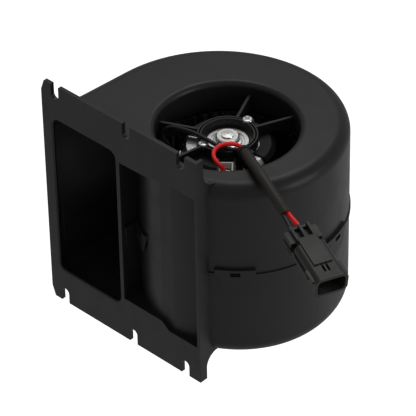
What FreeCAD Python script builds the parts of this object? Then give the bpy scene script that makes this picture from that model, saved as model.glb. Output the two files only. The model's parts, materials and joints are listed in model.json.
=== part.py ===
"""Double-inlet centrifugal blower with its scroll housing, motor, impeller and supply lead.

Millimetres, +Z up. Everything is drawn about the fan axis (x = y = 0, with z = 0 half way up
the outlet flange) and moved at export, so that the stored origin is on the flange's mating
face. The scroll and the wheel are drawn about their own middle and lowered to the split.
Air leaves towards -Y; the fan axis is vertical.
"""
import FreeCAD, Part
import math
import os
from FreeCAD import Matrix, Placement, Vector

# Driving dimensions
FAN_X, FAN_Y = 35.0, 71.3          # fan axis, from the centre of the flange's mating face
BODY_HALF = 72.4                   # half height of the scroll
SPLIT_Z = -2.1                     # height of the split, the middle of the scroll
WALL = 2.5                         # moulded wall
SCROLL_R = 62.8                    # outer radius of the scroll's first quarter
SCROLL_STEP = 11.0                 # growth of the scroll in each quarter turn
DUCT_X = -35.5                     # outer face of the duct wall beside the cut-off
FLARE = 4.5                        # outward slope of the far duct wall, degrees
RIM_R = 10.0                       # rounding of the scroll's top and bottom edges
SEAM_PROUD, SEAM_H = 0.9, 1.8      # bead along the split

PLATE_T = 3.2                      # outlet flange plate
PLATE_HALF = 95.0
PLATE_LEFT, PLATE_RIGHT = -108.4, 38.4
NOTCH_W, NOTCH_DEEP = 7.2, 11.8    # open bolt notches
NOTCH_X = (-95.0, -26.6, 24.0)
FRONT = -FAN_Y                     # mating face
PLATE_BACK = FRONT + PLATE_T
RETURN_T, RETURN_DEEP = 2.4, 6.8   # stiffening return along the flange's free edge
RETURN_FILLET = 11.0

OUTLET_LEFT, OUTLET_RIGHT, OUTLET_HALF = -99.8, -37.6, 67.0
OUTLET_CORNER, LIP_R = 5.0, 1.5
OUTLET_TAPER = 10.0                # depth over which the window narrows to the duct
POCKET_LEFT, POCKET_RIGHT = -34.4, 36.0
POCKET_LOW, POCKET_HIGH = 60.0, 64.5   # half heights of the pocket window's two ends

INLET_R, THROAT_R, MOUTH_R = 53.9, 49.7, 4.2
THROAT_END = 49.9                  # free end of the inlet collar

CLIP_ANGLES = (-43.6, 18.0, 100.0, 170.0)
POCKET_CLIP = -113.5
CLIP_DROP, CLIP_TOP_W, CLIP_END_W = 10.4, 21.7, 14.6
CLIP_BAR, CLIP_RISE, CLIP_OUT = 28.2, 4.6, 2.2   # bar above each tab: length, height, stand-out

WHEEL_R, WHEEL_IN, WHEEL_HALF = 56.0, 46.6, 48.1
BLADES, BLADE_T = 42, 0.9
DISC_TOP, DISC_T = 0.6, 2.2        # the wheel's middle disc, under its blades

CAN_R, CAN_WALL, CAN_LOW, CAN_TOP = 31.5, 1.6, 5.0, 54.0
RING_OUT, RING_IN, RING_TOP = 21.2, 18.0, 62.5
SPOKE_ANGLES = (67.5, 114.6, 204.0, 259.0, -25.0)
SPOKE_T = 2.0
SCREWS = ((-1.7, 22.0), (-5.2, -18.6))
CUSHION_R, CUSHION_TOP = 33.0, 55.2
SHAFT_R, RUN_GAP = 3.0, 0.03
COMMUTATOR_R, BRUSH_GAP = 9.0, 0.06
BRUSH_Z, BRUSH_END = 14.5, 17.0

LEAD_R, SHEATH_R, SHEATH_BORE = 1.5, 3.7, 3.3
LEAD_SIDE = 1.55                   # each lead's offset from the sheath's middle
TERMINAL_ANGLE, HIDDEN_TERMINAL = -48.5, 213.5

# Middle line of the supply lead, from the clamp to the connector's back
CABLE = [
    Vector(25.5, -11.3, 66.9),
    Vector(41.3, -22.3, 73.8),
    Vector(62.6, -33.4, 76.0),
    Vector(82.4, -41.3, 72.5),
    Vector(94.5, -45.3, 68.4),
]
CONNECTOR_BACK = Vector(111.5, -52.0, 66.0)
CONNECTOR_FRONT = Vector(158.0, -71.0, 57.5)
CONNECTOR_W, CONNECTOR_H = 24.0, 16.0
CAVITY_SIDE = 3.6                  # offset of each contact from the connector's middle
CONTACT_IN = 10.0                  # how far a lead runs into the connector

# The loose loops between the motor's terminals and the clamp
RED_LOOP = [
    Vector(25.5, -30.0, 56.7),
    Vector(25.7, -31.4, 63.2),
    Vector(18.6, -31.7, 66.0),
    Vector(11.4, -27.1, 66.6),
    Vector(9.4, -19.8, 67.8),
    Vector(13.4, -12.2, 67.8),
    Vector(19.9, -8.5, 67.1),
]
BLACK_LOOP = [
    Vector(-32.6, -21.6, 43.1),
    Vector(-34.6, -22.9, 49.0),
    Vector(-38.8, -25.6, 55.2),
    Vector(-38.0, -22.6, 60.8),
    Vector(-33.0, -20.0, 63.2),
    Vector(-25.0, -18.4, 64.3),
    Vector(-13.5, -16.4, 64.9),
    Vector(-1.5, -16.6, 64.8),
    Vector(8.0, -16.6, 64.4),
    Vector(16.4, -14.4, 65.4),
    Vector(21.4, -12.3, 66.2),
]


# ---------------------------------------------------------------- small helpers
def box(x0, x1, y0, y1, z0, z1):
    return Part.makeBox(x1 - x0, y1 - y0, z1 - z0, Vector(x0, y0, z0))


def rod(radius, z0, z1, x=0.0, y=0.0):
    return Part.makeCylinder(radius, z1 - z0, Vector(x, y, z0))


def tube(outer, inner, z0, z1):
    return rod(outer, z0, z1).cut(rod(inner, z0 - 1, z1 + 1))


def prism(points, direction):
    """A flat outline of straight sides, pushed along a direction."""
    return Part.Face(Part.makePolygon(points + points[:1])).extrude(direction)


def turned_profile(edges):
    """A closed outline in the XZ plane, turned about the fan axis."""
    face = Part.Face(Part.Wire(edges))
    return face.revolve(Vector(0, 0, 0), Vector(0, 0, 1), 360)


def lathe(radii_and_heights):
    points = [Vector(r, 0, z) for r, z in radii_and_heights]
    return turned_profile(Part.makePolygon(points + points[:1]).Edges)


def at_angle(shape, degrees):
    """The shape, drawn along +X, turned about the fan axis."""
    copy = shape.copy()
    copy.rotate(Vector(0, 0, 0), Vector(0, 0, 1), degrees)
    return copy


def polar(radius, degrees, z=0.0):
    a = math.radians(degrees)
    return Vector(radius * math.cos(a), radius * math.sin(a), z)


def joined(shapes):
    return shapes[0].fuse(shapes[1:]).removeSplitter()


def mirrored(shape):
    return shape.mirror(Vector(0, 0, 0), Vector(0, 0, 1))


def lowered(shape):
    """A shape drawn about the scroll's middle, moved to the split's height."""
    copy = shape.copy()
    copy.translate(Vector(0, 0, SPLIT_Z))
    return copy


def arc(start, middle, end):
    return Part.Arc(start, middle, end).toShape()


# ---------------------------------------------------------------- scroll outline
def quarter(index, grow):
    """Centre and radius of one quarter of the four-centre scroll."""
    half = SCROLL_STEP / 2
    centre = (Vector(half, -half), Vector(half, half), Vector(-half, half), Vector(-half, -half))
    return centre[index], SCROLL_R + index * SCROLL_STEP + grow


def on_quarter(index, grow, degrees):
    centre, radius = quarter(index, grow)
    return centre + polar(radius, degrees)


def quarter_edge(index, grow, start, end):
    middle = (start + end) / 2
    return arc(*(on_quarter(index, grow, a) for a in (start, middle, end)))


def cut_off_angle(grow):
    """Where the first quarter meets the duct wall."""
    centre, radius = quarter(0, grow)
    return -math.degrees(math.acos((DUCT_X + grow - centre.x) / radius))


def flare_end(grow, front):
    start = on_quarter(3, grow, 180 - FLARE)
    run = start.y - front
    return Vector(start.x - run * math.tan(math.radians(FLARE)), front)


def outer_arcs(grow, front):
    """The three wide quarters and the flared duct wall, without the first quarter."""
    edges = [quarter_edge(i, grow, 90 * i - 180, 90 * i - 90) for i in (1, 2)]
    edges.append(quarter_edge(3, grow, 90, 180 - FLARE))
    edges.append(Part.makeLine(on_quarter(3, grow, 180 - FLARE), flare_end(grow, front)))
    return edges


def main_face(grow, front):
    """Plan of the scroll without its first quarter."""
    centre, _ = quarter(0, grow)
    corner = Vector(DUCT_X + grow, front)
    inner = Vector(DUCT_X + grow, centre.y)
    edges = outer_arcs(grow, front)
    edges.append(Part.makeLine(flare_end(grow, front), corner))
    edges.append(Part.makeLine(corner, inner))
    edges.append(Part.makeLine(inner, centre))
    edges.append(Part.makeLine(centre, on_quarter(0, grow, -90)))
    return Part.Face(Part.Wire(Part.__sortEdges__(edges)))


def first_quarter_face(grow):
    centre, _ = quarter(0, grow)
    start = cut_off_angle(grow)
    corner = Vector(DUCT_X + grow, centre.y)
    edges = [
        quarter_edge(0, grow, start, -90),
        Part.makeLine(on_quarter(0, grow, -90), centre),
        Part.makeLine(centre, corner),
        Part.makeLine(corner, on_quarter(0, grow, start)),
    ]
    return Part.Face(Part.Wire(edges))


def scroll_solid(grow, half, rounding, front):
    """The scroll and its duct as one solid, with rounded top and bottom edges."""
    main = main_face(grow, front).extrude(Vector(0, 0, 2 * half))
    main.translate(Vector(0, 0, -half))
    rims = [e for e in main.Edges if is_rim(e, half)]
    main = main.makeFillet(rounding, rims)
    first = first_quarter_face(grow).extrude(Vector(0, 0, 2 * half))
    first.translate(Vector(0, 0, -half))
    return main.fuse(first)


def is_rim(edge, half):
    """Whether an edge is on the outer curve, at the top or the bottom."""
    level = all(abs(abs(v.Z) - half) < 0.01 for v in edge.Vertexes)
    middle = edge.valueAt((edge.FirstParameter + edge.LastParameter) / 2)
    step = SCROLL_STEP / 2
    outside = middle.x > step + 1 or middle.y > step + 1 or middle.x < OUTLET_LEFT + 1
    return level and outside


def scroll_band(inner, outer, z0, z1):
    """A skin that follows the scroll between two distances from its outer face."""
    skins = []
    for grow in (outer, inner):
        faces = [main_face(grow, PLATE_BACK), first_quarter_face(grow)]
        solids = [f.extrude(Vector(0, 0, z1 - z0)) for f in faces]
        skins.append(solids[0].fuse(solids[1]))
    band = skins[0].cut(skins[1])
    band.translate(Vector(0, 0, z0))
    return band


# ---------------------------------------------------------------- flange
def notch(x):
    """One open bolt notch at the plate's top edge."""
    radius = NOTCH_W / 2
    bottom = PLATE_HALF - NOTCH_DEEP + radius
    slot = box(x - radius, x + radius, FRONT - 1, PLATE_BACK + 1, bottom, PLATE_HALF + 1)
    end = Part.makeCylinder(radius, PLATE_T + 2, Vector(x, FRONT - 1, bottom), Vector(0, 1, 0))
    return slot.fuse(end)


def rounded_section(left, right, half, corner, y):
    """A rectangular wire with rounded corners, across the duct."""
    face = Part.Face(Part.makePolygon([Vector(left, y, -half), Vector(right, y, -half),
                                       Vector(right, y, half), Vector(left, y, half),
                                       Vector(left, y, -half)]))
    bar = face.extrude(Vector(0, 1, 0))
    long_edges = [e for e in bar.Edges if abs(e.CenterOfMass.y - y - 0.5) < 0.01]
    bar = bar.makeFillet(corner, long_edges)
    return next(f for f in bar.Faces if abs(f.CenterOfMass.y - y) < 0.01).OuterWire


def outlet_air():
    """The outlet window: a rounded lip, then a taper into the duct."""
    inner = OUTLET_HALF - LIP_R
    lip = rounded_section(OUTLET_LEFT + LIP_R, OUTLET_RIGHT - LIP_R, inner, OUTLET_CORNER, FRONT)
    duct = lowered(rounded_section(flare_end(-WALL, FRONT).x + 0.6, DUCT_X - WALL,
                                   BODY_HALF - WALL, OUTLET_CORNER, FRONT + OUTLET_TAPER))
    throat = Part.makeLoft([lip, duct], True, True)
    mouth = rounded_section(OUTLET_LEFT, OUTLET_RIGHT, OUTLET_HALF, OUTLET_CORNER + LIP_R, FRONT)
    step = rounded_section(OUTLET_LEFT + LIP_R, OUTLET_RIGHT - LIP_R, inner, OUTLET_CORNER,
                           FRONT + LIP_R)
    return throat.fuse(Part.makeLoft([mouth, step], True, True))


def pocket_air(depth):
    """The window beside the outlet, a little higher towards the free edge."""
    low, high = POCKET_LOW, POCKET_HIGH
    outline = [(POCKET_LEFT, low), (-12.0, low + 0.6), (18.0, high), (POCKET_RIGHT, high),
               (POCKET_RIGHT, -high), (9.0, -high), (2.0, -low + 1), (POCKET_LEFT, -low + 1)]
    return prism([Vector(x, FRONT - 1, z) for x, z in outline], Vector(0, depth + 1, 0))


def flange_plate():
    half, chamfer_x, chamfer_z = PLATE_HALF, 3.0, 8.5
    outline = [(PLATE_LEFT, half - chamfer_z), (PLATE_LEFT + chamfer_x, half),
               (PLATE_RIGHT, half), (PLATE_RIGHT, -half),
               (PLATE_LEFT + chamfer_x, -half), (PLATE_LEFT, -half + chamfer_z)]
    plate = prism([Vector(x, FRONT, z) for x, z in outline], Vector(0, PLATE_T, 0))
    notches = [notch(x) for x in NOTCH_X]
    return plate.cut(notches + [mirrored(n) for n in notches] + [outlet_air(), pocket_air(PLATE_T + 1)])


def edge_return():
    """The return along the flange's free edge, curving into the scroll."""
    back = FRONT + RETURN_DEEP
    deep = back + RETURN_FILLET
    bend = RETURN_FILLET * (1 - math.sqrt(0.5))
    def at(y, z):
        return Vector(PLATE_RIGHT - RETURN_T, y, z)
    edges = []
    for side in (1, -1):
        body = side * (BODY_HALF + side * SPLIT_Z)
        low = body + side * RETURN_FILLET
        corner = at(back + bend, body + side * bend)
        edges.append(Part.makeLine(at(FRONT, side * PLATE_HALF), at(back, side * PLATE_HALF)))
        edges.append(Part.makeLine(at(back, side * PLATE_HALF), at(back, low)))
        edges.append(arc(at(back, low), corner, at(deep, body)))
    edges.append(Part.makeLine(at(deep, BODY_HALF + SPLIT_Z), at(deep, SPLIT_Z - BODY_HALF)))
    edges.append(Part.makeLine(at(FRONT, PLATE_HALF), at(FRONT, -PLATE_HALF)))
    face = Part.Face(Part.Wire(Part.__sortEdges__(edges)))
    return face.extrude(Vector(RETURN_T, 0, 0))


def pocket_covers():
    """Flat covers above and below the pocket, between the flange and the scroll."""
    reach = [(DUCT_X - 0.5, PLATE_BACK - 1), (PLATE_RIGHT, PLATE_BACK - 1),
             (PLATE_RIGHT, -57.0), (10.0, -50.0), (DUCT_X - 0.5, -50.0)]
    covers = []
    for near, far in ((56.0, SPLIT_Z + BODY_HALF), (SPLIT_Z - BODY_HALF, -56.0)):
        cover = prism([Vector(x, y, near) for x, y in reach], Vector(0, 0, far - near))
        covers.append(cover.cut(pocket_air(30.0)))
    return covers


# ---------------------------------------------------------------- housing
def inlet_mouth():
    """Bellmouth and collar of one inlet."""
    bend = math.sqrt(0.5)
    arc_z = BODY_HALF - MOUTH_R
    inner = MOUTH_R - WALL
    def outer_at(r):
        return Vector(INLET_R - r * bend, 0, arc_z + r * bend)
    throat, back = Vector(THROAT_R, 0, arc_z), Vector(THROAT_R + WALL, 0, arc_z)
    end, end_back = Vector(THROAT_R, 0, THROAT_END), Vector(THROAT_R + WALL, 0, THROAT_END)
    top, under = Vector(INLET_R, 0, BODY_HALF), Vector(INLET_R, 0, BODY_HALF - WALL)
    edges = [
        arc(top, outer_at(MOUTH_R), throat),
        Part.makeLine(throat, end),
        Part.makeLine(end, end_back),
        Part.makeLine(end_back, back),
        arc(back, outer_at(inner), under),
        Part.makeLine(under, top),
    ]
    return turned_profile(edges)


def clip_tab(degrees, bar_length):
    """A snap tab that hangs from the upper half over the lower one, under a bar."""
    top, end = CLIP_TOP_W / 2, CLIP_END_W / 2
    shape = [(-top, 0), (-end, -CLIP_DROP), (end, -CLIP_DROP), (top, 0)]
    blade = prism([Vector(40, y, z) for y, z in shape], Vector(85, 0, 0))
    hanging = at_angle(blade, degrees).common(scroll_band(1.0, CLIP_OUT, -CLIP_DROP - 1, 0))
    half = bar_length / 2
    bar = at_angle(box(40, 125, -half, half, 0, CLIP_RISE), degrees)
    bar = bar.common(scroll_band(-0.6, CLIP_OUT, 0, CLIP_RISE))
    window = at_angle(box(40, 125, -3.5, 3.5, -0.8, 2.6), degrees)
    return hanging.fuse(bar).cut(window.common(scroll_band(0, CLIP_OUT + 1, -1, 3)))


def clip_catch(degrees):
    """The catch on the lower half, behind the tab and below its window."""
    block = at_angle(box(40, 125, -3.0, 3.0, -3.6, -0.6), degrees)
    return block.common(scroll_band(-0.6, 0.8, -4, 0))


def housing_shell():
    """Both halves of the scroll housing as one hollow body, without its snap clips."""
    body = lowered(scroll_solid(0, BODY_HALF, RIM_R, PLATE_BACK - PLATE_T / 2))
    pocket = box(DUCT_X - 3, PLATE_RIGHT, FRONT, -42.0, -SEAM_H - 1, 1)
    bead = lowered(scroll_band(-0.6, SEAM_PROUD, -SEAM_H, 0).cut(pocket))
    shell = body.fuse([flange_plate(), edge_return(), bead] + pocket_covers())
    air = lowered(scroll_solid(-WALL, BODY_HALF - WALL, RIM_R - WALL, FRONT - 1))
    inlets = rod(INLET_R, -BODY_HALF - 9, BODY_HALF + 9)
    duct = air.cut(box(PLATE_LEFT - 1, PLATE_RIGHT, FRONT - 2, PLATE_BACK - 0.001, -90, 90))
    shell = shell.cut([duct, outlet_air(), pocket_air(PLATE_T), inlets])
    return shell.fuse(inlet_mouths())


def inlet_mouths():
    mouth = inlet_mouth()
    return [lowered(mouth), lowered(mirrored(mouth))]


def housing_halves():
    shell = housing_shell()
    above = box(-200, 200, -200, 200, SPLIT_Z, 200)
    below = box(-200, 200, -200, 200, -200, SPLIT_Z)
    tabs = [clip_tab(a, CLIP_BAR) for a in CLIP_ANGLES] + [clip_tab(POCKET_CLIP, CLIP_TOP_W)]
    catches = [clip_catch(a) for a in CLIP_ANGLES + (POCKET_CLIP,)]
    upper = shell.common(above).fuse([lowered(tab) for tab in tabs])
    lower = shell.common(below).fuse([lowered(catch) for catch in catches])
    return upper.removeSplitter(), lower.removeSplitter()


# ---------------------------------------------------------------- motor bracket
def spoke(degrees):
    """A thin web from the bracket's ring out to the inlet's wall."""
    foot = 50.0
    outline = [(RING_OUT - 0.6, CUSHION_TOP), (CUSHION_R, CUSHION_TOP), (44.0, foot), (56.0, foot),
               (56.0, RING_TOP - 0.6), (RING_OUT - 0.6, RING_TOP - 0.2)]
    half = SPOKE_T / 2
    return at_angle(prism([Vector(r, -half, z) for r, z in outline], Vector(0, SPOKE_T, 0)), degrees)


def motor_bracket():
    """Double-walled ring on five spokes, with two screw bosses and a terminal seat."""
    inner = tube(RING_IN + 1.1, RING_IN, CAN_TOP, RING_TOP)
    outer = tube(RING_OUT, RING_OUT - 1.1, CAN_TOP, RING_TOP)
    floor = tube(RING_OUT - 0.5, RING_IN + 0.5, CAN_TOP, CAN_TOP + 4.0)
    bosses = [rod(4.6, CAN_TOP, RING_TOP - 1.5, x, y) for x, y in SCREWS]
    pads = [box(RING_OUT - 0.6, 45.2, -6.4, 6.4, CUSHION_TOP, CUSHION_TOP + 1.6)]
    for y in (-6.4, 4.8):
        pads.append(box(24.0, 45.2, y, y + 1.6, CUSHION_TOP, RING_TOP - 3.0))
    pads.append(box(43.6, 45.2, -6.4, 6.4, CUSHION_TOP, RING_TOP - 0.8))
    seat = [at_angle(pad, TERMINAL_ANGLE) for pad in pads]
    body = joined([inner, outer, floor] + seat + bosses + [spoke(a) for a in SPOKE_ANGLES])
    well = rod(RING_IN, CAN_TOP - 1, RING_TOP + 1)
    holes = [rod(1.75, CAN_TOP - 1, RING_TOP, x, y) for x, y in SCREWS]
    holes += [rod(4.1, RING_TOP - 1.5, RING_TOP + 1, x, y) for x, y in SCREWS]
    terminal = at_angle(box(32.4, 43.6, -4.8, 4.8, CAN_TOP - 1, RING_TOP + 2), TERMINAL_ANGLE)
    cut = body.cut([inlet_mouths()[0], well, motor_cushion(), terminal] + holes)
    return max(cut.Solids, key=lambda solid: solid.Volume)


def bracket_screws():
    """Two pan-head screws that hold the motor's can to the bracket."""
    screws = []
    for x, y in SCREWS:
        seat = RING_TOP - 1.5
        head = rod(3.9, seat, seat + 2.1, x, y)
        head = head.makeFillet(1.5, [e for e in head.Edges if e.CenterOfMass.z > seat + 2.0])
        slot = box(x - 2.6, x + 2.6, y - 0.5, y + 0.5, seat + 1.1, seat + 3)
        cross = box(x - 0.5, x + 0.5, y - 2.6, y + 2.6, seat + 1.1, seat + 3)
        screws.append(head.cut([slot, cross]).fuse(rod(1.7, CAN_TOP - 1.4, seat, x, y)))
    return Part.makeCompound(screws)


# ---------------------------------------------------------------- motor
def motor_can():
    """Drawn steel can, closed at the top round a stepped bearing boss."""
    outline = [(CAN_R, CAN_LOW), (CAN_R, CAN_TOP - 3), (CAN_R - 3, CAN_TOP), (15.6, CAN_TOP),
               (15.4, CAN_TOP + 2.2), (14.6, CAN_TOP + 2.8), (12.0, CAN_TOP + 2.8),
               (11.8, CAN_TOP + 2.0), (10.2, CAN_TOP + 2.0), (10.0, CAN_TOP + 3.8), (8.4, 58.2),
               (8.2, 60.4), (7.4, 61.4), (4.6, 61.4), (4.4, 62.4), (0, 62.6),
               (0, 60.8), (6.0, 60.8), (6.0, 55.2), (5.0, 55.2), (5.0, CAN_TOP - CAN_WALL),
               (CAN_R - 3.4, CAN_TOP - CAN_WALL), (CAN_R - CAN_WALL, CAN_TOP - 3.4),
               (CAN_R - CAN_WALL, CAN_LOW)]
    can = lathe(outline)
    return can.cut([rod(1.7, CAN_TOP - 3, CAN_TOP + 1, x, y) for x, y in SCREWS])


def motor_cushion():
    """Rubber cup round the can, open at two places."""
    outline = [(CAN_R, 18.0), (CUSHION_R, 18.0), (CUSHION_R, 52.2), (CUSHION_R - 3, CUSHION_TOP),
               (22.0, CUSHION_TOP), (22.0, CAN_TOP), (CAN_R - 3, CAN_TOP), (CAN_R, CAN_TOP - 3)]
    cup = lathe(outline)
    for start, end in ((-28.0, 8.0), (196.0, 246.0)):
        corners = [Vector(0, 0, 34.0), polar(60, start, 34.0), polar(60, end, 34.0)]
        cup = cup.cut(prism(corners, Vector(0, 0, 30.0)))
    bosses = [rod(4.6, CAN_TOP - 0.5, RING_TOP, x, y) for x, y in SCREWS]
    return cup.cut(bosses)


def motor_end_cap():
    outline = [(SHAFT_R + 0.6, 2.0), (CAN_R, 2.0), (CAN_R, CAN_LOW), (CAN_R - CAN_WALL, CAN_LOW),
               (CAN_R - CAN_WALL, CAN_LOW + 2), (CAN_R - 3.4, CAN_LOW + 2), (CAN_R - 3.4, 4.4),
               (9.0, 4.4), (9.0, 8.0), (6.5, 8.0), (6.5, 3.4), (SHAFT_R + 0.6, 3.4)]
    return lathe(outline)


def field_magnets():
    """Two arc magnets against the can's wall."""
    ring = tube(CAN_R - CAN_WALL, CAN_R - CAN_WALL - 2.9, 20.0, 50.0)
    wedge = prism([Vector(0, 0, 20), Vector(60, 60, 20), Vector(60, -60, 20)], Vector(0, 0, 30))
    one = ring.common(wedge)
    return Part.makeCompound([at_angle(one, 90), at_angle(one, 270)])


def brush_plate():
    """Fibre plate with two square brush holders."""
    plate = tube(CAN_R - CAN_WALL - 0.2, 11.0, 9.0, 10.8)
    parts = [plate]
    for a in (0, 180):
        holder = box(12.0, 27.6, -4.0, 4.0, 10.8, 18.6)
        bore = box(11.0, 26.4, -2.7, 2.7, BRUSH_Z - 2.7, BRUSH_Z + 2.7)
        parts.append(at_angle(holder.cut(bore), a))
    return joined(parts)


def brush(degrees):
    """Carbon block with a hollow end that bears on the commutator."""
    block = box(8.0, BRUSH_END, -2.5, 2.5, BRUSH_Z - 2.5, BRUSH_Z + 2.5)
    return at_angle(block.cut(rod(COMMUTATOR_R + BRUSH_GAP, 5, 25)), degrees)


def brush_spring(degrees):
    """Coil spring between a brush and the back of its holder."""
    length, turns, radius, wire = 26.1 - BRUSH_END - 0.3, 6, 1.7, 0.25
    helix = Part.makeHelix(length / turns, length, radius)
    ring = Part.Wire(Part.makeCircle(wire, Vector(radius, 0, 0), Vector(0, 1, 0)))
    coil = Part.Wire(helix.Edges).makePipeShell([ring], True, True)
    coil.rotate(Vector(0, 0, 0), Vector(0, 1, 0), 90)
    coil.translate(Vector(BRUSH_END + 0.3, 0, BRUSH_Z))
    return at_angle(coil, degrees)


def supply_strips():
    """Two copper strips from the brush plate up beside the can to the lead terminals."""
    strips = []
    for angle, top in ((TERMINAL_ANGLE, 56.4), (HIDDEN_TERMINAL, 42.5)):
        run = box(33.2, 34.2, -2.4, 2.4, 7.4, top)
        foot = box(CAN_R, 34.2, -2.4, 2.4, 6.4, 7.4)
        blade = box(33.2, 41.0, -1.6, 1.6, top - 0.8, top)
        strips.append(at_angle(joined([run, foot, blade]), angle))
    return Part.makeCompound(strips)


def suppression_chokes():
    """Two wound ferrite rods on the brush plate."""
    chokes = []
    for a in (90, 270):
        core = Part.makeCylinder(1.6, 14.0, Vector(21, -7, 13.2), Vector(0, 1, 0))
        turns = [Part.makeCylinder(2.3, 0.8, Vector(21, y, 13.2), Vector(0, 1, 0))
                 for y in (-5.0, -3.6, -2.2, -0.8, 0.6, 2.0, 3.4)]
        chokes.append(at_angle(joined([core] + turns), a))
    return Part.makeCompound(chokes)


def upper_bearing():
    return tube(6.0, SHAFT_R + RUN_GAP, 55.2, 60.2)


def lower_bearing():
    return tube(6.5, SHAFT_R + RUN_GAP, 3.4, 8.0)


# ---------------------------------------------------------------- rotor
def motor_shaft():
    shaft = rod(SHAFT_R, -24.0, 60.4)
    return shaft.makeChamfer(0.5, [e for e in shaft.Edges if abs(e.CenterOfMass.z + 24.0) < 0.01])


def armature_core():
    """Slotted lamination stack."""
    stack = tube(25.6, SHAFT_R, 26.0, 44.0)
    slots = []
    for i in range(12):
        deep = box(13.0, 22.5, -2.2, 2.2, 25, 45)
        mouth = box(22.0, 27.0, -0.9, 0.9, 25, 45)
        slots.append(at_angle(deep.fuse(mouth), 30 * i))
    return stack.cut(slots)


def armature_windings():
    """Copper end turns and the coils in the slots."""
    low = tube(22.0, SHAFT_R + 1.5, 21.2, 26.0)
    high = tube(22.0, SHAFT_R + 1.5, 44.0, 48.8)
    edges = [e for e in low.Edges if e.CenterOfMass.z < 21.3 and e.Length > 100]
    low = low.makeFillet(2.4, edges)
    edges = [e for e in high.Edges if e.CenterOfMass.z > 48.7 and e.Length > 100]
    high = high.makeFillet(2.4, edges)
    coils = [at_angle(box(13.2, 21.8, -2.0, 2.0, 26.0, 44.0), 30 * i) for i in range(12)]
    return joined([low, high] + coils)


def commutator():
    """Moulded barrel with its copper segments parted by slots."""
    barrel = tube(COMMUTATOR_R, SHAFT_R, 9.9, 20.6)
    slits = [at_angle(box(COMMUTATOR_R - 1.0, COMMUTATOR_R + 1, -0.2, 0.2, 9, 21), 30 * i + 15)
             for i in range(12)]
    return barrel.cut(slits)


def thrust_washers():
    return Part.makeCompound([tube(5.4, SHAFT_R, 8.4, 9.2), tube(4.6, SHAFT_R, 53.6, 54.6)])


def wheel_blade():
    """One forward-curved blade, hollow side flattened, between the disc and a wheel's end."""
    inner, outer = WHEEL_IN + 0.3, WHEEL_R + 1.0
    side = Vector(0, BLADE_T / 2, 0)
    start, end = polar(inner, 0), polar(outer, 2.0)
    middle = polar((inner + outer) / 2, -0.2)
    edges = [arc(start - side, middle - side, end - side), Part.makeLine(end - side, end + side),
             Part.makeLine(end + side, start + side), Part.makeLine(start + side, start - side)]
    blade = Part.Face(Part.Wire(edges)).extrude(Vector(0, 0, WHEEL_HALF - DISC_TOP))
    blade.translate(Vector(0, 0, DISC_TOP))
    return blade.common(rod(WHEEL_R, -WHEEL_HALF, WHEEL_HALF))


def wheel_blades():
    """Two rows of blades, one on each side of the disc."""
    top = wheel_blade()
    low = mirrored(top)
    low.translate(Vector(0, 0, DISC_TOP - DISC_T))
    low = low.common(rod(WHEEL_R, -WHEEL_HALF, 0))
    row = [at_angle(blade, 360 * i / BLADES) for i in range(BLADES) for blade in (top, low)]
    return Part.makeCompound([solid for blade in row for solid in blade.Solids])


def wheel_rings():
    """The bands round the blades' outer ends."""
    ring = tube(WHEEL_R + 1.4, WHEEL_R, WHEEL_HALF - 5.0, WHEEL_HALF)
    return Part.makeCompound([ring, mirrored(ring)])


def wheel_disc():
    """The middle disc with its hub and ribs."""
    under, top = DISC_TOP - DISC_T, DISC_TOP
    disc = lathe([(SHAFT_R, -20.0), (7.0, -20.0), (8.0, -4.6), (WHEEL_IN - 1, under),
                  (WHEEL_R, under), (WHEEL_R, top), (WHEEL_IN - 1, top), (8.0, -1.6),
                  (SHAFT_R, -1.6)])
    web = prism([Vector(7.2, -0.8, -16), Vector(7.2, -0.8, -3.6), Vector(40, -0.8, under)],
                Vector(0, 1.6, 0))
    return joined([disc] + [at_angle(web, 60 * i) for i in range(6)])


def impeller_clip():
    """Spring clip round the end of the wheel's hub."""
    ring = tube(8.6, 7.2, -19.8, -17.6)
    return ring.cut(box(0, 12, -1.5, 1.5, -21, -15))


def balance_weights():
    """Two small weights clipped to the wheel's end rings."""
    weights = []
    for angle, level in ((38.0, WHEEL_HALF), (215.0, -WHEEL_HALF - 1.0)):
        weights.append(at_angle(box(53.6, 57.2, -3.0, 3.0, level, level + 1.0), angle))
    return Part.makeCompound(weights)


# ---------------------------------------------------------------- leads
def path_through(points, name):
    """Straight runs joined by the widest tangent arcs that the runs allow."""
    edges, last, radii = [], points[0], []
    for before, corner, after in zip(points, points[1:], points[2:]):
        back, ahead = before - corner, after - corner
        shorter = min(back.Length, ahead.Length)
        back.normalize()
        ahead.normalize()
        half_turn = (math.pi - back.getAngle(ahead)) / 2
        cut = 0.45 * shorter
        radius = cut / math.tan(half_turn)
        radii.append(round(radius, 1))
        start, end = corner + back * cut, corner + ahead * cut
        inward = (back + ahead).normalize()
        middle = corner + inward * (math.hypot(cut, radius) - radius)
        edges += [Part.makeLine(last, start), arc(start, middle, end)]
        last = end
    edges.append(Part.makeLine(last, points[-1]))
    print(name, "radii", radii)
    return Part.Wire(edges)


def round_pipe(points, radius, name):
    path = path_through(points, name)
    start = points[0]
    ring = Part.Wire(Part.makeCircle(radius, start, points[1] - start))
    pipe = path.makePipeShell([ring], True, False)
    section = math.pi * radius ** 2
    print(name, "volume share", round(pipe.Volume / (section * path.Length), 4),
          "length", round(path.Length, 1))
    return pipe


def side_of(start, end):
    """Level direction across a run, to its left."""
    along = end - start
    return Vector(-along.y, along.x, 0).normalize()


def lead_points(loop, side):
    """A lead's whole route: its loose loop, the sheath, then its contact in the connector."""
    across = side_of(CABLE[0], CABLE[-1])
    sheathed = [p + across * (LEAD_SIDE * side) for p in CABLE]
    mouth = side_of(CONNECTOR_BACK, CONNECTOR_FRONT) * (CAVITY_SIDE * side)
    inward = (CONNECTOR_FRONT - CONNECTOR_BACK).normalize() * CONTACT_IN
    entry = CONNECTOR_BACK + mouth
    return loop + sheathed + [entry, entry + inward]


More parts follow.
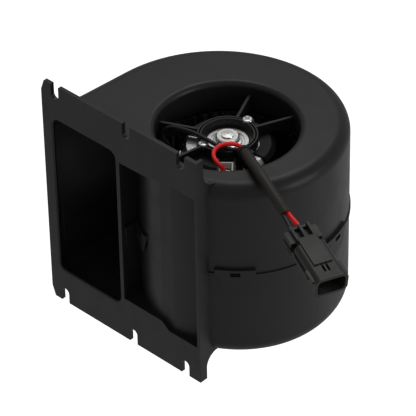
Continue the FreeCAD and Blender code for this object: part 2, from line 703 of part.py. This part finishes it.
def cable_sheath():
    outer = round_pipe(CABLE, SHEATH_R, "cable_sheath")
    return outer.cut(round_pipe(CABLE, SHEATH_BORE, "sheath bore"))


def cable_clamp():
    """Saddle on the bracket that holds the start of the sheath."""
    start, onward = CABLE[0], (CABLE[1] - CABLE[0]).normalize()
    mid = start + onward * 1.0
    collar = Part.makeCylinder(SHEATH_R + 0.9, 4.0, mid, onward)
    bore = Part.makeCylinder(SHEATH_R, 9.0, mid - onward * 2, onward)
    foot = at_angle(box(22.4, 31.0, -2.8, 2.8, RING_TOP, 64.6), -25.0)
    ear = at_angle(box(27.6, 31.0, 2.6, 6.8, RING_TOP + 1.0, 66.0), -25.0)
    return joined([collar, foot, ear]).cut(bore)


def terminal_receptacle():
    """Pale square receptacle that the red lead plugs into."""
    body = box(32.4, 43.6, -4.8, 4.8, CUSHION_TOP, 62.6)
    cavity = box(33.4, 42.6, -3.8, 3.8, 56.4, 63.6)
    strip = box(31.0, 41.4, -2.6, 2.6, 54.0, 58.0)
    return at_angle(body.cut([cavity, strip]), TERMINAL_ANGLE)


# ---------------------------------------------------------------- connector
def in_connector(shape):
    """Places a shape drawn along +X, with z up, on the connector's axis."""
    forward = (CONNECTOR_FRONT - CONNECTOR_BACK).normalize()
    across = side_of(CONNECTOR_BACK, CONNECTOR_FRONT)
    up = forward.cross(across)
    place = Matrix(forward.x, across.x, up.x, CONNECTOR_BACK.x,
                   forward.y, across.y, up.y, CONNECTOR_BACK.y,
                   forward.z, across.z, up.z, CONNECTOR_BACK.z, 0, 0, 0, 1)
    copy = shape.copy()
    copy.Placement = Placement(place)
    return copy


def rounded_bar(x0, x1, half_w, half_h, corner):
    """A bar along X with rounded long edges."""
    bar = box(x0, x1, -half_w, half_w, -half_h, half_h)
    return bar.makeFillet(corner, [e for e in bar.Edges if abs(e.CenterOfMass.x - (x0 + x1) / 2) < 0.01])


def connector_body():
    """Two-way plug housing with a thin shroud, a collared rear, rails and latch slots."""
    length = (CONNECTOR_FRONT - CONNECTOR_BACK).Length
    half_w, half_h = CONNECTOR_W / 2, CONNECTOR_H / 2
    shroud = rounded_bar(17.0, length, half_w - 1.0, half_h - 0.8, 3.6)
    rim = rounded_bar(length - 2.4, length, half_w, half_h, 4.4)
    rear = rounded_bar(0, 18.0, half_w - 4.4, half_h - 2.2, 1.2)
    deck = box(12.0, length - 14.0, -6.6, 6.6, half_h - 2.6, half_h + 0.2)
    fingers = [box(0, 14.0, y - 1.0, y + 1.0, half_h - 3.0, half_h - 0.4) for y in (-6.2, 0, 6.2)]
    rails = []
    for side in (1, -1):
        rails.append(side_box(3.0, 40.0, side, half_w - 5.0, half_w + 0.4, -1.2, 0.6))
        rails.append(side_box(2.0, 13.0, side, half_w - 5.0, half_w - 0.4, -1.2, 5.4))
        rails.append(side_box(length - 14, length - 3, side, half_w - 4.0, half_w + 0.6, 3.2, 5.0))
    body = joined([shroud, rim, rear, deck] + fingers + rails)
    cavity = rounded_bar(24.0, length + 1, half_w - 2.0, half_h - 1.9, 3.0)
    windows = [box(2.0, 12.0, y - 1.9, y + 1.9, half_h - 4.2, half_h + 3) for y in (-3.1, 3.1)]
    latch = [box(length - 13, length - 7, y - 0.7, y + 0.7, half_h - 1.9, half_h + 3)
             for y in (-1.5, 1.5)]
    bores = [Part.makeCylinder(2.4, 12.0, Vector(-0.5, y, 0), Vector(1, 0, 0))
             for y in (-CAVITY_SIDE, CAVITY_SIDE)]
    slots = [box(11.0, 26.0, y - 1.7, y + 1.7, -0.7, 0.7) for y in (-CAVITY_SIDE, CAVITY_SIDE)]
    pockets = [side_box(6.0, 14.0, side, half_w - 3.2, half_w - 1.4, 1.6, 4.4) for side in (1, -1)]
    lock = box(8.0, 16.2, -half_w - 2, -half_w + 5.2, -4.9, -2.5)
    return body.cut([cavity, lock] + windows + latch + bores + slots + pockets)


def side_box(x0, x1, side, near, far, z0, z1):
    """A box on one side of the connector, between two distances from its middle."""
    low, high = sorted((side * near, side * far))
    return box(x0, x1, low, high, z0, z1)


def connector_pins():
    """Two blade contacts, from the leads' ends into the shroud."""
    pins = []
    for y in (-CAVITY_SIDE, CAVITY_SIDE):
        blade = box(12.4, 42.0, y - 1.4, y + 1.4, -0.4, 0.4)
        barrel = Part.makeCylinder(1.9, 1.2, Vector(CONTACT_IN + 0.1, y, 0), Vector(1, 0, 0))
        stem = box(11.0, 13.0, y - 0.8, y + 0.8, -0.4, 0.4)
        pins.append(joined([blade, barrel, stem]))
    return Part.makeCompound(pins)


def connector_seals():
    """Rubber seals round the leads at the back of the connector."""
    seals = []
    for y in (-CAVITY_SIDE, CAVITY_SIDE):
        outer = Part.makeCylinder(2.4, 5.0, Vector(-0.8, y, 0), Vector(1, 0, 0))
        inner = Part.makeCylinder(LEAD_R + 0.35, 7.0, Vector(-2, y, 0), Vector(1, 0, 0))
        seals.append(outer.cut(inner))
    return Part.makeCompound(seals)


def connector_lock():
    """Sliding secondary lock in the connector's side."""
    half_w = CONNECTOR_W / 2
    return box(8.4, 15.8, -half_w - 0.2, -half_w + 4.8, -4.6, -2.8)


# ---------------------------------------------------------------- build
def save(node, shape):
    """Moves a node to the stored origin and writes it."""
    copy = shape.copy()
    copy.translate(Vector(FAN_X, FAN_Y, 0))
    copy.exportStep("parts/" + node + ".step")
    solids = len(copy.Solids)
    print(node, "valid", copy.isValid(), "solids", solids, "volume", round(copy.Volume, 1))


def build():
    os.makedirs("parts", exist_ok=True)
    upper, lower = housing_halves()
    save("upper_housing", upper)
    save("lower_housing", lower)
    save("motor_bracket", motor_bracket())
    save("bracket_screws", bracket_screws())
    save("motor_can", motor_can())
    save("motor_cushion", motor_cushion())
    save("motor_end_cap", motor_end_cap())
    save("field_magnets", field_magnets())
    save("upper_bearing", upper_bearing())
    save("lower_bearing", lower_bearing())
    save("brush_plate", brush_plate())
    save("brush_a", brush(0))
    save("brush_b", brush(180))
    save("brush_spring_a", brush_spring(0))
    save("brush_spring_b", brush_spring(180))
    save("supply_strips", supply_strips())
    save("suppression_chokes", suppression_chokes())
    save("terminal_receptacle", terminal_receptacle())
    save("cable_clamp", cable_clamp())
    save("motor_shaft", motor_shaft())
    save("armature_core", armature_core())
    save("armature_windings", armature_windings())
    save("commutator", commutator())
    save("thrust_washers", thrust_washers())
    save("wheel_disc", lowered(wheel_disc()))
    save("wheel_blades", lowered(wheel_blades()))
    save("wheel_rings", lowered(wheel_rings()))
    save("impeller_clip", lowered(impeller_clip()))
    save("balance_weights", lowered(balance_weights()))
    save("red_lead", round_pipe(lead_points(RED_LOOP, 1), LEAD_R, "red_lead"))
    save("black_lead", round_pipe(lead_points(BLACK_LOOP, -1), LEAD_R, "black_lead"))
    save("cable_sheath", cable_sheath())
    save("connector_body", in_connector(connector_body()))
    save("connector_pins", in_connector(connector_pins()))
    save("connector_seals", in_connector(connector_seals()))
    save("connector_lock", in_connector(connector_lock()))


build()
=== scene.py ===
"""The looks of a double-inlet centrifugal blower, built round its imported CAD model."""
import json
import math

import bpy
from mathutils import Matrix, Vector


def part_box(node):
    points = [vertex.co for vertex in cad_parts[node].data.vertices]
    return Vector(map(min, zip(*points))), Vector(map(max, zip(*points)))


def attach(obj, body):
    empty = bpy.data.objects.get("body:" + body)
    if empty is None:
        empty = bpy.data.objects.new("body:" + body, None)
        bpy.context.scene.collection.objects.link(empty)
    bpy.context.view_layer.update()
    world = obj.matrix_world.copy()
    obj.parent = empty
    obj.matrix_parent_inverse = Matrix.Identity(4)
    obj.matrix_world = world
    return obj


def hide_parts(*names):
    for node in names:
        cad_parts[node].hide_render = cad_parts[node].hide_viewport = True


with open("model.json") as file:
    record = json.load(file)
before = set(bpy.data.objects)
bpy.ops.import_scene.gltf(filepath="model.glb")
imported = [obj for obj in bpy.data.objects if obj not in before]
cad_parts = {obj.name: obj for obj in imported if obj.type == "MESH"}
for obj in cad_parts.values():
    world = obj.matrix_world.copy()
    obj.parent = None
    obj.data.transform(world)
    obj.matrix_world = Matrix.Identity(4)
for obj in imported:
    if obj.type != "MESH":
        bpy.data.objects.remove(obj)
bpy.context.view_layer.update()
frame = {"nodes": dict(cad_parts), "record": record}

NODES = frame["nodes"]
HOUSING_LOW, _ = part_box("lower_housing")
SHAFT_LOW, SHAFT_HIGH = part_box("motor_shaft")
FAN = Vector(((SHAFT_LOW.x + SHAFT_HIGH.x) / 2, (SHAFT_LOW.y + SHAFT_HIGH.y) / 2, 0))

# ---------------------------------------------------------------- camera
CAMERA_AZIMUTH = math.radians(43.945)
CAMERA_ELEVATION = math.radians(37.672)
CAMERA_ROLL = math.radians(-1.103)
CAMERA_DISTANCE = 2.165            # from the fan axis, half way up the outlet flange
CAMERA_OFFSET = (-0.01434, -0.00139)
CAMERA_LENS, SENSOR = 268.5, 36.0
NEAREST, FURTHEST = 0.1, 20        # what the camera can see


def camera_axes():
    """Right, up and backward directions of the camera."""
    a, e = CAMERA_AZIMUTH, CAMERA_ELEVATION
    back = Vector((math.sin(a) * math.cos(e), -math.cos(a) * math.cos(e), math.sin(e)))
    level = Vector((math.cos(a), math.sin(a), 0))
    upright = back.cross(level)
    c, s = math.cos(CAMERA_ROLL), math.sin(CAMERA_ROLL)
    return c * level + s * upright, c * upright - s * level, back


def make_camera():
    right, up, back = camera_axes()
    data = bpy.data.cameras.new("camera")
    data.lens, data.sensor_width = CAMERA_LENS, SENSOR
    data.clip_start, data.clip_end = NEAREST, FURTHEST
    camera = bpy.data.objects.new("camera", data)
    place = FAN + back * CAMERA_DISTANCE + right * CAMERA_OFFSET[0] + up * CAMERA_OFFSET[1]
    turn = Matrix((right, up, back)).transposed().to_4x4()
    camera.matrix_world = Matrix.Translation(place) @ turn
    bpy.context.scene.collection.objects.link(camera)
    bpy.context.scene.camera = camera


make_camera()

# ---------------------------------------------------------------- leads
LEAD_R = 0.0015
LEAD_SIDE = 0.00155                # from the sheath's middle to each lead's
CAVITY_SIDE = 0.0036               # from the connector's middle to each cavity's
CONTACT_IN = 0.010                 # how far a lead goes into the connector
CURVE_STEPS, ROUND_STEPS = 16, 7   # how finely a lead's length and its round are divided

# Middle line of the sheath, then the leads' loose loops, all in metres from the fan axis
CABLE = [
    (0.0255, -0.0113, 0.0669),
    (0.0413, -0.0223, 0.0738),
    (0.0626, -0.0334, 0.0760),
    (0.0824, -0.0413, 0.0725),
    (0.0945, -0.0453, 0.0684),
]
CONNECTOR_BACK = Vector((0.1115, -0.0520, 0.0660)) + FAN
CONNECTOR_FRONT = Vector((0.1580, -0.0710, 0.0575)) + FAN
RED_LOOP = [
    (0.0255, -0.0300, 0.0567),
    (0.0257, -0.0314, 0.0632),
    (0.0186, -0.0317, 0.0660),
    (0.0114, -0.0271, 0.0666),
    (0.0094, -0.0198, 0.0678),
    (0.0134, -0.0122, 0.0678),
    (0.0199, -0.0085, 0.0671),
]
BLACK_LOOP = [
    (-0.0326, -0.0216, 0.0431),
    (-0.0346, -0.0229, 0.0490),
    (-0.0388, -0.0256, 0.0552),
    (-0.0380, -0.0226, 0.0608),
    (-0.0330, -0.0200, 0.0632),
    (-0.0250, -0.0184, 0.0643),
    (-0.0135, -0.0164, 0.0649),
    (-0.0015, -0.0166, 0.0648),
    (0.0080, -0.0166, 0.0644),
    (0.0164, -0.0144, 0.0654),
    (0.0214, -0.0123, 0.0662),
]


def from_fan(points):
    return [Vector(p) + FAN for p in points]


def side_of(start, end):
    """Level direction across a run, to its left."""
    along = end - start
    return Vector((-along.y, along.x, 0)).normalized()


def lead_points(loop, side):
    """A lead's whole route: its loose loop, the sheath, then its contact in the connector."""
    cable = from_fan(CABLE)
    across = side_of(cable[0], cable[-1]) * (LEAD_SIDE * side)
    mouth = side_of(CONNECTOR_BACK, CONNECTOR_FRONT) * (CAVITY_SIDE * side)
    inward = (CONNECTOR_FRONT - CONNECTOR_BACK).normalized() * CONTACT_IN
    entry = CONNECTOR_BACK + mouth
    return from_fan(loop) + [p + across for p in cable] + [entry, entry + inward]


def smooth_curve(name, points, radius):
    """A round cord that follows one NURBS spline."""
    data = bpy.data.curves.new(name, "CURVE")
    data.dimensions = "3D"
    spline = data.splines.new("NURBS")
    spline.points.add(len(points) - 1)
    for slot, point in zip(spline.points, points):
        slot.co = (*point, 1)
    spline.order_u = 3
    spline.use_endpoint_u = True
    spline.resolution_u = CURVE_STEPS
    data.bevel_depth = radius
    data.bevel_resolution = ROUND_STEPS
    data.use_fill_caps = True
    made = bpy.data.objects.new(name, data)
    bpy.context.scene.collection.objects.link(made)
    return made


def curve_length(points):
    """Length of the smooth spline through a route's control points."""
    bare = smooth_curve("measure", points, 0)
    mesh = bpy.data.meshes.new_from_object(bare)
    line = [v.co.copy() for v in mesh.vertices]
    length = sum((b - a).length for a, b in zip(line, line[1:]))
    data = bare.data
    bpy.data.objects.remove(bare)
    bpy.data.curves.remove(data)
    bpy.data.meshes.remove(mesh)
    return length


def make_lead(name, loop, side, node):
    points = lead_points(loop, side)
    lead = smooth_curve(name, points, LEAD_R)
    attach(lead, "housing")
    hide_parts(node)
    curve_length(points)
    return lead


red_lead = make_lead("red_wire", RED_LOOP, 1, "red_lead")
black_lead = make_lead("black_wire", BLACK_LOOP, -1, "black_lead")

# ---------------------------------------------------------------- materials


class Paint:
    """Short names for building one node material."""

    def __init__(self, name):
        self.material = bpy.data.materials.new(name)
        self.material.use_nodes = True
        self.nodes = self.material.node_tree.nodes
        self.links = self.material.node_tree.links
        self.shader = self.nodes["Principled BSDF"]
        self.place = self.add("ShaderNodeTexCoord").outputs["Object"]

    def add(self, kind, **settings):
        node = self.nodes.new(kind)
        for key, value in settings.items():
            setattr(node, key, value)
        return node

    def link(self, source, target):
        self.links.new(source, target)

    def noise(self, scale, detail=3.0, stretch=None):
        """Noise from 0 to 1, in repeats per metre."""
        node = self.add("ShaderNodeTexNoise")
        node.inputs["Scale"].default_value = scale
        node.inputs["Detail"].default_value = detail
        source = self.place
        if stretch:
            mapping = self.add("ShaderNodeMapping")
            mapping.inputs["Scale"].default_value = stretch
            self.link(source, mapping.inputs["Vector"])
            source = mapping.outputs["Vector"]
        self.link(source, node.inputs["Vector"])
        return node.outputs["Fac"]

    def span(self, value, low, high, out_low, out_high):
        """Maps one range of a value to another."""
        node = self.add("ShaderNodeMapRange")
        for key, number in (("From Min", low), ("From Max", high),
                            ("To Min", out_low), ("To Max", out_high)):
            node.inputs[key].default_value = number
        self.link(value, node.inputs["Value"])
        return node.outputs["Result"]

    def blend(self, value, first, second):
        """Colour between two, by a value from 0 to 1."""
        node = self.add("ShaderNodeMix", data_type="RGBA")
        node.inputs["A"].default_value = (*first, 1)
        node.inputs["B"].default_value = (*second, 1)
        self.link(value, node.inputs["Factor"])
        return node.outputs["Result"]

    def bump(self, value, strength, distance, under=None):
        node = self.add("ShaderNodeBump")
        node.inputs["Strength"].default_value = strength
        node.inputs["Distance"].default_value = distance
        self.link(value, node.inputs["Height"])
        if under:
            self.link(under, node.inputs["Normal"])
        return node.outputs["Normal"]

    def edges(self, radius):
        """Normal that rounds sharp edges over a small radius."""
        node = self.add("ShaderNodeBevel", samples=4)
        node.inputs["Radius"].default_value = radius
        return node.outputs["Normal"]

    def set(self, **values):
        for key, value in values.items():
            self.shader.inputs[key.replace("_", " ")].default_value = value


DRIFT, MOTTLE, STAIN = 22.0, 60.0, 90.0     # slow changes over a surface, in repeats per metre
METAL_LINES = 1400.0
MIDDLE = (0.3, 0.7)                         # where most of a noise's values lie


def moulded(name, dark, light, rough, grain=1800.0, grain_bump=0.06, radius=0.0004, gloss=0.3):
    """Moulded plastic: slow colour drift, fine sparked grain, softly rounded edges."""
    paint = Paint(name)
    paint.set(Specular_IOR_Level=gloss)
    drift = paint.noise(DRIFT, 4.0)
    fine = paint.noise(grain, 2.0)
    paint.link(paint.blend(drift, dark, light), paint.shader.inputs["Base Color"])
    paint.link(paint.span(paint.noise(MOTTLE), *MIDDLE, rough - 0.05, rough + 0.05),
               paint.shader.inputs["Roughness"])
    normal = paint.bump(fine, grain_bump, 0.0002, paint.edges(radius))
    paint.link(normal, paint.shader.inputs["Normal"])
    return paint


def metal(name, dark, light, rough, stretch=(1, 1, 1), radius=0.0002):
    """Plated or ground metal with fine drawn lines and faint staining."""
    paint = Paint(name)
    lines = paint.noise(METAL_LINES, 2.0, stretch)
    stain = paint.noise(STAIN, 5.0)
    paint.set(Metallic=1.0)
    paint.link(paint.blend(stain, dark, light), paint.shader.inputs["Base Color"])
    paint.link(paint.span(lines, *MIDDLE, rough - 0.03, rough + 0.04),
               paint.shader.inputs["Roughness"])
    normal = paint.bump(lines, 0.006, 0.0001, paint.edges(radius))
    paint.link(normal, paint.shader.inputs["Normal"])
    return paint


def make_materials():
    made = {
        "housing_plastic": moulded("housing_plastic", (0.0105, 0.0105, 0.0105),
                                   (0.0135, 0.0135, 0.0135), 0.42),
        "wheel_plastic": moulded("wheel_plastic", (0.012, 0.012, 0.014), (0.02, 0.02, 0.023),
                                 0.24, gloss=0.8),
        "cushion_rubber": moulded("cushion_rubber", (0.004, 0.004, 0.004), (0.008, 0.008, 0.008),
                                  0.5, gloss=0.2),
        "connector_plastic": moulded("connector_plastic", (0.015, 0.014, 0.012),
                                     (0.021, 0.019, 0.017), 0.42, grain=2600.0),
        "heat_shrink": moulded("heat_shrink", (0.017, 0.015, 0.012), (0.027, 0.024, 0.02), 0.5,
                               grain=900.0, grain_bump=0.15),
        "seal_rubber": moulded("seal_rubber", (0.02, 0.02, 0.02), (0.03, 0.03, 0.03), 0.6),
        "pale_nylon": moulded("pale_nylon", (0.5, 0.5, 0.48), (0.62, 0.62, 0.6), 0.4),
        "fibre_board": moulded("fibre_board", (0.2, 0.09, 0.04), (0.32, 0.16, 0.08), 0.55),
        "carbon": moulded("carbon", (0.02, 0.02, 0.02), (0.05, 0.05, 0.05), 0.5),
        "ferrite": moulded("ferrite", (0.05, 0.05, 0.055), (0.08, 0.08, 0.085), 0.55),
        "red_insulation": moulded("red_insulation", (0.95, 0.009, 0.011), (1.0, 0.014, 0.014), 0.36,
                                  grain=1200.0, grain_bump=0.04),
        "black_insulation": moulded("black_insulation", (0.008, 0.008, 0.008), (0.014, 0.014, 0.014),
                                    0.36, grain=1200.0, grain_bump=0.04),
        "zinc_steel": metal("zinc_steel", (0.62, 0.62, 0.6), (0.8, 0.8, 0.78), 0.26),
        "ground_steel": metal("ground_steel", (0.55, 0.55, 0.55), (0.68, 0.68, 0.68), 0.22,
                              (1, 1, 14)),
        "spring_steel": metal("spring_steel", (0.35, 0.35, 0.36), (0.5, 0.5, 0.5), 0.3),
        "lamination_steel": metal("lamination_steel", (0.12, 0.12, 0.13), (0.22, 0.22, 0.22), 0.5,
                                  (0.05, 0.05, 6)),
        "sintered_bronze": metal("sintered_bronze", (0.4, 0.24, 0.12), (0.55, 0.36, 0.2), 0.45),
        "copper": metal("copper", (0.6, 0.26, 0.12), (0.8, 0.42, 0.24), 0.32),
        "tinned_contact": metal("tinned_contact", (0.6, 0.6, 0.57), (0.75, 0.74, 0.7), 0.3),
    }
    return {slot: paint.material for slot, paint in made.items()}


MATERIALS = make_materials()
SLOT_OF = {row["node"]: row["material_slot"] for row in frame["record"]["subparts"]}


def dress(piece, slot):
    """Gives a piece its finish."""
    piece.data.materials.clear()
    piece.data.materials.append(MATERIALS[slot])


for node, piece in NODES.items():
    dress(piece, SLOT_OF[node])
dress(red_lead, "red_insulation")
dress(black_lead, "black_insulation")

# ---------------------------------------------------------------- floor and light
FLOOR_DROP, FLOOR_SIZE = 0.45, 14  # the blower is held up by its flange, well above the floor
FLOOR_GLOW = 0.7                   # whitens the floor where it is seen, without lighting the sides
SOFT_LIGHT = 0.34                  # how strongly the white surroundings light the blower
BACKDROP = 1.0                     # how bright the surroundings look
LAMPS = (                          # name, place from the fan axis, width, power, colour
    ("top", (-0.5, 0.7, 1.5), 1.0, 6.5, (1, 1, 1)),
    ("right", (1.7, 0.5, 0.5), 0.7, 6.5, (0.93, 0.96, 1.0)),
)


def make_floor():
    height = HOUSING_LOW.z - FLOOR_DROP
    bpy.ops.mesh.primitive_plane_add(size=FLOOR_SIZE, location=(0, 0, height))
    floor = bpy.context.object
    floor.name = "floor"
    paint = Paint("pale_floor")
    paint.link(paint.blend(paint.noise(3.0), (0.93, 0.93, 0.93), (0.95, 0.95, 0.95)),
               paint.shader.inputs["Base Color"])
    paint.set(Roughness=0.9, Emission_Color=(1, 1, 1, 1))
    seen = paint.add("ShaderNodeLightPath").outputs["Is Camera Ray"]
    paint.link(paint.span(seen, 0, 1, 0, FLOOR_GLOW), paint.shader.inputs["Emission Strength"])
    floor.data.materials.append(paint.material)


def area_light(name, place, size, power, colour):
    data = bpy.data.lights.new(name, "AREA")
    data.shape, data.size, data.energy, data.color = "DISK", size, power, colour
    light = bpy.data.objects.new(name, data)
    light.location = Vector(place) + FAN
    light.rotation_mode = "QUATERNION"
    light.rotation_quaternion = (-Vector(place)).to_track_quat("-Z", "Y")
    bpy.context.scene.collection.objects.link(light)


def make_light():
    """A white studio: the backdrop is bright, and its light on the blower is soft and low."""
    world = bpy.data.worlds.new("studio")
    world.use_nodes = True
    nodes, links = world.node_tree.nodes, world.node_tree.links
    sky = nodes["Background"]
    sky.inputs["Color"].default_value = (1, 1, 1, 1)
    backdrop = nodes.new("ShaderNodeLightPath")
    level = nodes.new("ShaderNodeMapRange")
    level.inputs["To Min"].default_value = SOFT_LIGHT
    level.inputs["To Max"].default_value = BACKDROP
    links.new(backdrop.outputs["Is Camera Ray"], level.inputs["Value"])
    links.new(level.outputs["Result"], sky.inputs["Strength"])
    bpy.context.scene.world = world
    for lamp in LAMPS:
        area_light(*lamp)
    bpy.context.scene.view_settings.view_transform = "Standard"


make_floor()
make_light()
